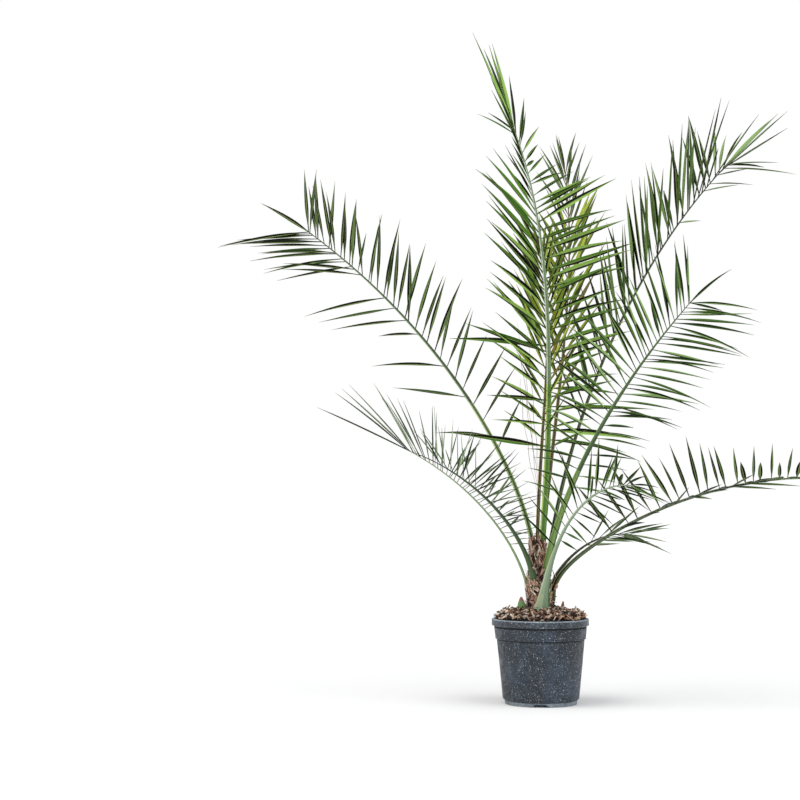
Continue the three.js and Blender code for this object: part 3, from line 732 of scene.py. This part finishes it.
def pot_outline():
    """The pot's section as (radius, height), from under its middle to its inner floor."""
    top, wall, ledge = POT.height, POT.wall, POT.foot_height
    foot, base, neck, rim = POT.foot_radius, POT.base_radius, POT.neck_radius, POT.rim_radius
    band, band_top = POT.band_radius, POT.band_top
    out = [(0, 1.2)] + near(foot, 0, (-11, 1.2), (-9, 0.3), (-4, 0), (-1, 0), (0, 1))
    out += near(foot, ledge, (0.2, -2), (1.2, -0.4)) + near(base, ledge, (-0.8, 0.6), (0, 2))
    out += [(mix(base, neck, share), mix(ledge + 2, BAND_FOOT - 4, share))
            for share in np.linspace(0, 1, 27)[1:]]
    out += near(neck, BAND_FOOT, (-0.2, -2.6), (0, -1.2), (0.6, -0.5))
    out += near(band, BAND_FOOT, (-0.5, 0), (0.2, 1.4))
    out += [(mix(band, band_top, share), mix(BAND_FOOT + 2.4, RIM_FOOT - 4, share))
            for share in np.linspace(0, 1, 8)]
    out += near(band_top, RIM_FOOT, (-0.4, -2.4), (-0.2, -0.8), (0.8, -0.2))
    out += near(rim, RIM_FOOT, (-1.6, 0.2), (-0.4, 1.2), (0, 3))
    out += near(rim, top, (-0.6, -8), (-0.3, -4), (-0.3, -2.4), (-0.9, -0.9), (-2, -0.1), (-3.2, 0))
    out += near(band_top - wall, top, (1, -0.2), (0, -1.2), (-0.6, -8))
    return out + [(neck - wall, BAND_FOOT), (base - wall, ledge + 8), (0, ledge + 6)]


def notch_rise(angle):
    """How far the foot is cut away at an angle round the pot."""
    quarter = tau / POT.notches
    off = abs((angle + pi / 2 + quarter / 2) % quarter - quarter / 2) * POT.foot_radius
    half = POT.notch_width / 2
    return POT.notch_height * float(smooth((half - off) / (half * 0.38)))


def dent(angle, height):
    """How far the knocks push the wall in at a place."""
    deep = 0.0
    for at_angle, at_height, wide, tall, depth in KNOCKS:
        off = (degrees(angle) - at_angle + 180) % 360 - 180
        deep += depth * exp(-(off / wide) ** 2 - ((height - at_height) / tall) ** 2)
    return deep


def pot_point(radius, height, angle):
    """A point of the wall, notched at the foot and a little out of round above it."""
    z = height
    if radius > POT.foot_radius - POT.notch_depth - 1 and height < POT.notch_height + 1:
        z = max(z, notch_rise(angle) + 0.1 * z)
    if height > POT.foot_height + 2:
        radius += 0.35 * sin(3 * angle + height * 0.02) * min(1, radius / 80) - dent(angle, height)
    return radius * cos(angle), radius * sin(angle), z


def pot_paint(radius, height):
    """Worn on the foot, worn with a painted highlight on the rim's top edge, and a painted shadow
    line under the rim and under the band.
    """
    top = POT.height
    if height < POT.foot_height - 2 or (height > top - 3.5 and radius > POT.rim_radius - 3.5):
        return "worn"
    if RIM_FOOT - 4.1 < height < RIM_FOOT - 0.3 or BAND_FOOT - 2.8 < height < BAND_FOOT - 0.1:
        return "groove"
    if RIM_FOOT < height < top - 3 and radius > POT.band_top + 1:
        return "rim"
    return "plastic"


def make_pot():
    outline = pot_outline()
    points = [pot_point(radius, height, tau * i / POT_SEGMENTS)
              for radius, height in outline for i in range(POT_SEGMENTS)]
    paints = [pot_paint(*spot) for spot in outline[:-1] for _ in range(POT_SEGMENTS)]
    heap = Heap()
    heap.add(points, tube_faces(len(outline), POT_SEGMENTS, closed=False), paints)
    pot = heap.piece("pot_shell", {
        "plastic": pot_plastic(),
        "rim": pot_plastic("pot_rim", "#12161b", "#252c35", "#434e5a", 0.02),
        # Real wear on the foot, and wear with a painted highlight on the rim's top edge.
        "worn": pot_plastic("pot_worn_edge", "#56606a", "#7d8790", "#aeb6bc", 0.06),
        # A painted shadow line under the rim and under the band.
        "groove": plain("pot_groove", "#0d1013", 0.75),
    })
    weld(pot)
    settle(pot, "pot", slot="pot_plastic")


def weld(piece):
    """Joins the points that coincide on the axis."""
    shape = bmesh.new()
    shape.from_mesh(piece.data)
    bmesh.ops.remove_doubles(shape, verts=shape.verts, dist=1e-5)
    bmesh.ops.recalc_face_normals(shape, faces=shape.faces)
    shape.to_mesh(piece.data)
    shape.free()
    piece.data.polygons.foreach_set("use_smooth", [True] * len(piece.data.polygons))


def pot_plastic(name="pot_plastic", low="#0a0f15", middle="#1a2430", high="#2f3c4d", dust=0.0):
    """Dusty blue-grey plastic with pale specks and scuffs."""
    material = plain(name, middle, 0.5)
    n = Nodes(material)
    tone = n.ramp(n.noise(16, 8, (1, 1, 0.7), 0.7), [(0.36, low), (0.5, middle), (0.66, high)])
    layers = [  # noise, where it sets in and is full, its most, colour
        (n.noise(75, 6, (1, 1, 0.35), 0.75), 0.54 - dust, 0.74 - dust, 0.6, "#5c6874"),
        (n.noise(480, 3, roughness=0.7), 0.57 - dust, 0.69 - dust, 0.8, "#8592a0"),
        (n.noise(560, 1), 0.705 - dust / 2, 0.735 - dust / 2, 1, "#f4f7f9"),
    ]
    for grain, start, full, most, colour in layers:
        tone = n.blend(n.ramp(grain, [(start, 0), (full, most)]), tone, colour)
    n.link(tone, n.shader.inputs["Base Color"])
    n.link(n.ramp(n.noise(60, 3), [(0.3, 0.32), (0.7, 0.6)]), n.shader.inputs["Roughness"])
    n.link(n.bump(n.noise(260, 5, roughness=0.6), 0.45, 0.0009), n.shader.inputs["Normal"])
    return material


# ---- mulch ----

def soil_height(share, angle):
    bumps = sin(angle * 7 + share * 9) + sin(angle * 4 - share * 14)
    return SOIL.top + SOIL.mound * (1 - share * share) + bumps * SOIL.relief


CHIP_COLOURS = dict(
    black="#0a0503", umber="#2c1a12", bark="#5c3d2f", cinnamon="#886350", tan="#bb9f86",
    straw="#e8dac6", ash="#b3a598",
)
# The black chips are partly the mulch's own dark bits and partly painted shade between the chips.
CHIP_PAINTS = dealt(black=4, umber=4, bark=4, cinnamon=4, tan=6, straw=3, ash=4)
CHIPS, CHIP_RINGS, CHIP_SIDES = 1700, 4, 6
BED_RINGS, BED_SEGMENTS = 24, 96
BED_REACH = POT.band_top - POT.wall - 0.8
GOLDEN_ANGLE = 2.39996


def add_chip(heap, rng, middle, size, paint):
    """A flake of bark: a bent six-sided sliver with ragged ends."""
    length, width, height = size
    yaw, pitch, spin = rng.uniform(0, tau), rng.gauss(0, 0.55), rng.uniform(0, tau)
    along = np.array([cos(yaw) * cos(pitch), sin(yaw) * cos(pitch), sin(pitch)])
    level = np.array([-sin(yaw), cos(yaw), 0.0])
    side = turned(level, along, spin)
    top = np.cross(along, side)
    points = []
    for ring in range(CHIP_RINGS):
        share = ring / (CHIP_RINGS - 1) - 0.5
        taper = 1 - 1.1 * abs(share) ** 1.5 * rng.uniform(0.5, 1.5)
        bend = 0.25 * length * (share ** 2) * rng.uniform(-0.6, 0.6)
        for i in range(CHIP_SIDES):
            angle = tau * i / CHIP_SIDES
            ragged = rng.uniform(0.75, 1.2)
            points.append(middle + along * (share * length + rng.uniform(-0.08, 0.08) * length)
                          + side * (cos(angle) * width / 2 * taper * ragged)
                          + top * (sin(angle) * height / 2 * taper * ragged + bend))
    heap.add(points, tube_faces(CHIP_RINGS, CHIP_SIDES), paint)


def add_bed(heap):
    """The lumpy ground under the chips, near-black partly as its own colour and partly as painted
    shade in the gaps between them.
    """
    points = []
    for share, angle in rounds(BED_RINGS, BED_SEGMENTS):
        x, y = share * cos(angle), share * sin(angle)
        z = soil_height(share, angle) - 6 + 3 * noise.noise(Vector((9 * x, 9 * y, 4)))
        points.append((BED_REACH * x, BED_REACH * y, z if share < 1 else SOIL.shoulder - 20))
    heap.add(points, tube_faces(BED_RINGS + 1, BED_SEGMENTS, closed=False), "black")


def add_chips(heap, rng):
    """Chips spread evenly out to the pot's wall, no lower than its rim there."""
    for i in range(CHIPS):
        share = sqrt((i + 0.5) / CHIPS)
        angle = i * GOLDEN_ANGLE + rng.uniform(-0.1, 0.1)
        layer = rng.random()
        length = rng.uniform(5, 12.5) * (1 if rng.random() < 0.9 else 1.35)
        radius = share * (BED_REACH + 2)
        z = soil_height(share, angle) - 6.5 + 9 * layer
        if radius > BED_REACH - 4:
            z = max(z - 4, POT.height + 2.5)
        middle = np.array([radius * cos(angle), radius * sin(angle), z])
        size = (length, rng.uniform(3, 5.6), rng.uniform(1.6, 3.8))
        add_chip(heap, rng, middle, size, rng.choice(CHIP_PAINTS))


def make_mulch():
    bed, chips = Heap(), Heap()
    add_bed(bed)
    add_chips(chips, random.Random(11))
    materials = plain_set("bark", CHIP_COLOURS, 0.9)
    settle(bed.piece("mulch_bed", materials), "soil", slot="bark_mulch")
    settle(chips.piece("mulch_chips", materials, sharp=True), "soil", slot="bark_mulch")


# ---- stem ----

FIBRE_COLOURS = dict(
    char="#140b07", rust="#5e3a2b", rose="#a9806f", sand="#c9a48a", cream="#ecd9c4")
SCRAP_PAINTS = dealt(char=3, rust=4, rose=6, sand=5, cream=3)
THREAD_PAINTS = dealt(char=2, rust=3, rose=4, sand=5, cream=4)
LOBE_PAINTS = dealt(rust=2, rose=6, sand=4, cream=1)
SCRAPS, THREADS, LOBE_STRIPS, RAGS, WRAP_SCRAPS = 330, 300, 34, 16, 46
RAG_REACH = 42  # how far up a petiole its edges are torn
LOBE_FOOT = 318
CORE_FOOT, CORE_RINGS, CORE_SEGMENTS = 176, 90, 96


def add_strand(heap, path, width, paint):
    """A thin flat-sided fibre along a path of points."""
    path = np.asarray(path, float)
    tangent = unit(np.gradient(path, axis=0))
    side = unit(np.cross(tangent, np.array([0.31, 0.2, 0.93])))
    top = np.cross(tangent, side)
    ends = np.minimum(np.linspace(0.15, 4, len(path)), np.linspace(4, 0.1, len(path)))
    half = 0.5 * width * np.sqrt(np.clip(ends, 0, 1))
    points = []
    for i in range(len(path)):
        for angle in (0, tau / 3, 2 * tau / 3):
            offset = side[i] * cos(angle) + 0.5 * top[i] * sin(angle)
            points.append(path[i] + offset * half[i])
    heap.add(points, tube_faces(len(path), 3), paint)


def add_scrap(heap, rng, middle, outward, size, paint):
    """A torn flake of sheath that curls away at one end."""
    length, width = size
    level = unit(np.cross(UP, outward))
    slant = rng.gauss(0, 0.7)
    along = UP * cos(slant) + level * sin(slant)
    across = np.cross(along, outward)
    curl = rng.uniform(0.05, 0.5) * length
    points = []
    for share in (0, 0.35, 0.7, 1):
        half = 0.5 * width * rng.uniform(0.55, 1.1) * (1 - 0.55 * share)
        spot = middle + along * (share - 0.4) * length + outward * curl * share ** 2
        left, right = (spot + across * sign * half + along * rng.uniform(-0.1, 0.1) * length
                       for sign in (-1, 1))
        points += [left, right, right - outward * 0.7, left - outward * 0.7]
    heap.add(points, tube_faces(4, 4), paint)


def add_stem_scraps(heap, rng):
    for _ in range(SCRAPS):
        angle, height = rng.uniform(0, tau), rng.uniform(186, 346)
        middle = stem_point(angle, height, rng.uniform(-0.4, 1.4))
        outward = unit(np.array([cos(angle), sin(angle) / STEM_DEEPER, 0.0]))
        size = (rng.uniform(6, 17), rng.uniform(2.5, 8))
        add_scrap(heap, rng, middle, outward, size, rng.choice(SCRAP_PAINTS))


def add_stem_threads(heap, rng):
    for _ in range(THREADS):
        angle, low = rng.uniform(0, tau), rng.uniform(188, 330)
        lean = rng.choice((-1, 1)) * rng.uniform(0.2, 2.2)
        rise, lift = rng.uniform(8, 48), rng.uniform(0.4, 3.5)
        stray = rng.uniform(3, 11) if rng.random() < 0.2 else 0
        path = []
        for share in np.linspace(0, 1, 8):
            height = min(low + rise * share, STEM_TOP + 5)
            proud = lift * sin(pi * share) + 0.4 + stray * share ** 2
            turn = angle + lean * share * 0.7 + 0.05 * rng.uniform(-1, 1)
            above = UP * max(height - STEM_TOP, 0)
            path.append(stem_point(turn, min(height, STEM_TOP), proud) + above)
        add_strand(heap, path, rng.uniform(0.45, 1.25), rng.choice(THREAD_PAINTS))


def add_lobe_threads(heap, rng):
    """The torn tips of the sheath at the stem's top."""
    for x, y, radius, tip in SHEATH_LOBES:
        for _ in range(LOBE_STRIPS):
            angle = rng.uniform(0, tau)
            reach, high = radius * rng.uniform(0.5, 1.05), tip - rng.uniform(0, 18)
            path = []
            for share in np.linspace(0, 1, 6):
                spread = reach * (1 - 0.5 * share)
                turn = angle + share * 0.4
                path.append(np.array([x + spread * cos(turn), y + spread * sin(turn),
                                      mix(LOBE_FOOT, high, share)]))
            add_strand(heap, path, rng.uniform(1.0, 3.4), rng.choice(LOBE_PAINTS))


def add_sheath_rags(heap, rng):
    """Pale torn skin along both edges of the petioles' bases."""
    for frond in FRONDS:
        at = rachis_curve(frond)
        for _ in range(RAGS):
            share = rng.uniform(-0.02, RAG_REACH / frond.length)
            seat = max(share, 0)
            along, across, over = frond_frame(frond, seat)
            sign = rng.choice((-1, 1))
            half = rachis_width(frond, seat) / 2
            edge = at(seat) + along * min(share, 0) * frond.length + across * sign * half
            size = (rng.uniform(7, 18), rng.uniform(1.6, 4.5))
            add_scrap(heap, rng, edge, unit(across * sign + over * 0.3), size,
                      rng.choice(["rose", "sand", "cream", "rust", "char"]))


def add_foot_wrap(heap, rng):
    """Torn fibre over the outer side of the front left frond's foot."""
    frond = next(frond for frond in FRONDS if frond.name == "frond_front_left")
    along, across, over = frond_frame(frond, 0)
    half, depth = rachis_width(frond, 0) / 2, rachis_depth(frond, 0)
    for _ in range(WRAP_SCRAPS):
        aside = rng.uniform(-1, 1)
        spot = (np.array(frond.foot) + along * rng.uniform(-20, 9) + across * aside * half
                - over * depth * (1.25 - 0.9 * aside ** 2))
        size = (rng.uniform(6, 16), rng.uniform(2.5, 6.5))
        outward = unit(across * aside * 0.6 - over)
        add_scrap(heap, rng, spot, outward, size, rng.choice(SCRAP_PAINTS))


def make_stem_core():
    points = []
    for share, angle in rounds(CORE_RINGS, CORE_SEGMENTS):
        height = mix(CORE_FOOT, STEM_TOP, share)
        rough = noise.fractal(Vector((cos(angle) * 5, sin(angle) * 5, height * 0.06)), 0.8, 2.1, 4)
        grain = noise.noise(Vector((angle * 14 + height * 0.05, height * 0.02, 7)))
        points.append(stem_point(angle, height, 1.8 * rough + 0.8 * grain - 1.4))
    points.append((STEM_LEAN, 0, STEM_TOP + 2))
    faces = tube_faces(CORE_RINGS + 1, CORE_SEGMENTS, closed=False)
    last, rim = len(points) - 1, CORE_RINGS * CORE_SEGMENTS
    faces += [(rim + i, rim + (i + 1) % CORE_SEGMENTS, last) for i in range(CORE_SEGMENTS)]
    core = Heap()
    core.add(points, faces, "fibre")
    settle(core.piece("stem_core", {"fibre": fibre_skin()}), "stem", slot="stem_fibre")


def make_stem():
    make_stem_core()
    rng = random.Random(5)
    heap = Heap()
    for add in add_stem_scraps, add_stem_threads, add_lobe_threads, add_sheath_rags, add_foot_wrap:
        add(heap, rng)
    fibres = plain_set("fibre", FIBRE_COLOURS, 0.85)
    settle(heap.piece("stem_fibres", fibres, sharp=True), "stem", slot="stem_fibre")


def fibre_skin():
    """Dark matted fibre under the torn pieces."""
    material = plain("stem_skin", "#3a2319", 0.9)
    n = Nodes(material)
    tone = n.ramp(n.noise(170, 6, (1, 1, 0.5), 0.65),
                  [(0.36, "#070403"), (0.5, "#23130d"), (0.62, "#5d3b2d"), (0.76, "#9a705b")])
    n.link(tone, n.shader.inputs["Base Color"])
    n.link(n.bump(n.noise(240, 6, (1, 1, 0.3)), 0.7, 0.002), n.shader.inputs["Normal"])
    return material


# ---- cut leaf stubs ----

STUBS = [
    SimpleNamespace(name="leaf_stub_left", x=-38, y=-14, width=18, depth=10, top=227, lean=-3,
        bulge=0.3, skin="#6d8f58", torn="#8f6452"),
    SimpleNamespace(name="leaf_stub_right", x=45, y=-6, width=12, depth=8, top=217, lean=4,
        bulge=0.1, skin="#6e4a35", torn="#8a5a44"),
]
STUB_RINGS, STUB_SIDES = 14, 20
STUB_TORN = 0.72  # the share of a stub's height above which it is torn


def make_stub(stub):
    rng = random.Random(stub.name)
    name, foot = stub.name, SOIL.top - 4
    points = []
    for share, angle in rounds(STUB_RINGS, STUB_SIDES):
        scale = 0.85 + stub.bulge * sin(pi * share) - 0.6 * share ** 2
        half = 0.5 * scale * (1 + 0.06 * rng.uniform(-1, 1))
        z = mix(foot, stub.top, share) + (2.2 * rng.uniform(-1, 1) if share == 1 else 0)
        points.append((stub.x + stub.lean * share + stub.width * half * cos(angle),
                       stub.y + stub.depth * half * sin(angle), z))
    paints = ["skin" if ring < STUB_RINGS * STUB_TORN else "torn"
              for ring in range(STUB_RINGS) for _ in range(STUB_SIDES)]
    heap = Heap()
    heap.add(points, tube_faces(STUB_RINGS + 1, STUB_SIDES), paints + ["skin", "torn"])
    materials = dict(skin=plain(f"{name}_skin", stub.skin, 0.6),
                     torn=plain(f"{name}_torn", stub.torn, 0.9))
    settle(heap.piece(f"{name}_cut", materials), name, slot="leaf_stub")


# ---- scene ----

# Soft suns: azimuth and elevation, strength, angle and colour.
SUNS = dict(
    key_light=(205, 56, 1.5, 40, (1, 0.99, 0.96)),
    side_light=(335, 56, 1.15, 40, (0.97, 0.98, 1)),
    front_light=(270, 30, 0.6, 60, (1, 1, 1)),
    top_light=(270, 88, 1.1, 140, (1, 1, 1)),
)
SKY_COLOUR, SKY_STRENGTH = (0.93, 0.97, 1, 1), 0.2
FLOOR_REACH = 60
# Lens and sensor in millimetres, place and reach in metres, tilt and turn in degrees.
CAMERA = SimpleNamespace(lens=70.2, sensor=36, place=(0, -3.4, 0.42), reach=200, tilt=93.929,
                         turn=5.105)


def make_world():
    """A faint sky, which the camera sees as plain white."""
    scene = bpy.context.scene
    scene.view_settings.view_transform = "Standard"
    world = bpy.data.worlds.new("studio")
    scene.world = world
    world.use_nodes = True
    tree = world.node_tree
    sky, seen = tree.nodes["Background"], tree.nodes.new("ShaderNodeBackground")
    sky.inputs["Color"].default_value = SKY_COLOUR
    sky.inputs["Strength"].default_value = SKY_STRENGTH
    seen.inputs["Color"].default_value = (1, 1, 1, 1)
    path, choose = tree.nodes.new("ShaderNodeLightPath"), tree.nodes.new("ShaderNodeMixShader")
    tree.links.new(path.outputs["Is Camera Ray"], choose.inputs["Fac"])
    tree.links.new(sky.outputs[0], choose.inputs[1])
    tree.links.new(seen.outputs[0], choose.inputs[2])
    tree.links.new(choose.outputs[0], tree.nodes["World Output"].inputs["Surface"])


def add_sun(name, azimuth, elevation, strength, angle, colour):
    data = bpy.data.lights.new(name, "SUN")
    data.energy, data.angle, data.color = strength, radians(angle), colour
    lamp = put(name, data)
    a, e = radians(azimuth), radians(elevation)
    toward = Vector((cos(e) * cos(a), cos(e) * sin(a), sin(e)))
    lamp.rotation_euler = toward.to_track_quat("Z", "Y").to_euler()
    lamp.location = toward * 4


def make_floor():
    mesh = bpy.data.meshes.new("floor")
    square = (-1, -1), (1, -1), (1, 1), (-1, 1)
    corners = [(x * FLOOR_REACH, y * FLOOR_REACH, 0) for x, y in square]
    mesh.from_pydata(corners, [], [(0, 1, 2, 3)])
    mesh.materials.append(plain("studio_floor", "#e8e8e8", 0.95, Specular_IOR_Level=0.0))
    put("floor", mesh)


def make_camera():
    data = bpy.data.cameras.new("camera")
    data.lens, data.sensor_width, data.clip_end = CAMERA.lens, CAMERA.sensor, CAMERA.reach
    camera = put("camera", data)
    camera.location = CAMERA.place
    camera.rotation_euler = (radians(CAMERA.tilt), 0, radians(CAMERA.turn))
    bpy.context.scene.camera = camera


make_camera()
make_world()
for name, sun in SUNS.items():
    add_sun(name, *sun)
make_floor()
make_pot()
make_mulch()
make_stem()
for stub in STUBS:
    make_stub(stub)
make_fronds()
